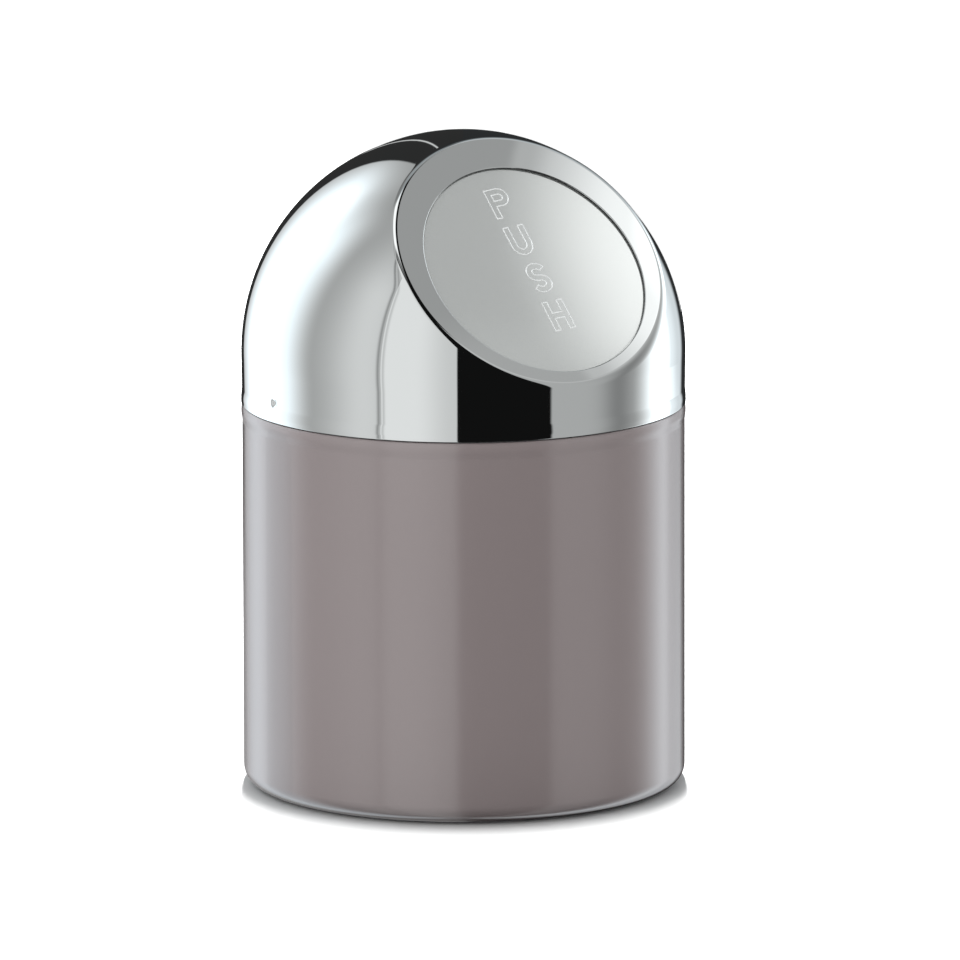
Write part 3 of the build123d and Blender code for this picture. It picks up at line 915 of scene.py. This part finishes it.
# ---- materials -------------------------------------------------------------------------------
def principled(name, build=None, **values):
    """A Principled material; build may add detail to it from object coordinates."""
    material = bpy.data.materials.new(name)
    material.use_nodes = True
    t = Tree(material.node_tree)
    shader = t.node("ShaderNodeBsdfPrincipled")
    for key, value in values.items():
        t.plug(shader.inputs[key.replace("_", " ")], value)
    if build:
        place = t.node("ShaderNodeTexCoord").outputs["Object"]
        build(t, shader, place)
    output = t.node("ShaderNodeOutputMaterial")
    t.plug(output.inputs["Surface"], shader.outputs[0])
    return material


def roughened(scale, rise, low, high, detail=4.0):
    """Roughness that varies softly over a worked metal or a moulded surface."""
    def build(t, shader, place):
        grain = t.noise(place, scale, detail)
        t.plug(shader.inputs["Roughness"], t.step(grain, *rise, low, high))
    return build


def clouded(dark, light):
    """Paint whose colour varies a little in soft clouds."""
    def build(t, shader, place):
        t.plug(shader.inputs["Base Color"], t.mix_colour(t.noise(place, 18.0), dark, light))
    return build


def pores(scale, dark, light):
    """Fine cells of a foam, darker between them; the same cells run through the near-black painted shade
    on the lid's sheet edges and lip.
    """
    def build(t, shader, place):
        cells = t.step(t.noise(place, scale, 2.0, 0.7), 0.35, 0.65)
        colour = t.mix_colour(cells, (dark, dark, dark, 1), (light, light, light, 1))
        t.plug(shader.inputs["Base Color"], colour)
    return build


WORKED = (0.3, 0.7)


def make_materials():
    """Every finish by its slot name, with two more: near-black painted shade for the lid's sheet edges
    and lip, and the letters' lighter, rougher beads.
    """
    paint = clouded((0.203, 0.172, 0.172, 1), (0.213, 0.181, 0.18, 1))
    return {
        "chrome": principled(
            "chrome", roughened(35.0, (0.35, 0.75), 0.02, 0.035),
            Base_Color=(0.82, 0.848, 0.845, 1), Metallic=1.0,
        ),
        "satin": principled(
            "satin_steel", roughened(900.0, (0.2, 0.8), 0.055, 0.075, 2.0),
            Base_Color=(0.824, 0.851, 0.837, 1), Metallic=0.8,
        ),
        "raised": principled(
            "raised_steel", roughened(900.0, WORKED, 0.22, 0.3),
            Base_Color=(0.9, 0.92, 0.91, 1), Metallic=0.5,
        ),
        "paint": principled("taupe_paint", paint, Roughness=0.16, IOR=1.9),
        "plain": principled(
            "plain_steel", roughened(60.0, WORKED, 0.28, 0.42),
            Base_Color=(0.55, 0.56, 0.57, 1), Metallic=1.0,
        ),
        "spring": principled(
            "spring_steel", roughened(300.0, WORKED, 0.22, 0.38),
            Base_Color=(0.25, 0.25, 0.26, 1), Metallic=1.0,
        ),
        "plastic": principled(
            "black_plastic", roughened(400.0, WORKED, 0.4, 0.6), Base_Color=(0.02, 0.02, 0.02, 1)
        ),
        "nylon": principled(
            "nylon", roughened(400.0, WORKED, 0.42, 0.6), Base_Color=(0.75, 0.73, 0.68, 1)
        ),
        "foam": principled("foam", pores(1500.0, 0.012, 0.045), Roughness=0.9),
        # Painted shade: near-black and not metallic, for the lid's opening wall, lip underside and hem,
        # where the gap round the flap and the joint over the can fall in shade.
        "cut": principled("cut_edge", pores(900.0, 0.015, 0.04), Roughness=0.6),
    }


FINISHES = {
    "can_shell": "paint", "base_pan": "plain", "foot_ring": "plastic", "neck_collar": "plain",
    "lid_dome": "chrome", "hinge_bracket": "plain", "hinge_axle": "plain", "axle_clip": "spring",
    "flap_spring": "spring", "flap_plate": "satin", "flap_leaf": "plain",
    "bush_left": "nylon", "bush_right": "nylon",
}


def dress_all():
    """Finish the CAD nodes, foam where no other is named, and add the pieces in finer mesh."""
    made = make_materials()
    for node in nodes:
        data = nodes[node].data
        data.materials.clear()
        data.materials.append(made[FINISHES.get(node, "foam")])
    lid = add_lid()
    pieces = ((add_can(), "paint"), (lid, "chrome"), (add_panel(), "satin"), (add_lettering(), "raised"))
    for piece, finish in pieces:
        piece.data.materials.append(made[finish])
    # The lid's second material: the near-black painted shade on its opening wall, lip and hem.
    lid.data.materials.append(made["cut"])


bpy.context.scene.view_settings.view_transform = "Standard"
add_camera()
light_studio()
add_flat_card()
add_back_card()
add_overhead_strip(add_floor())
dress_all()
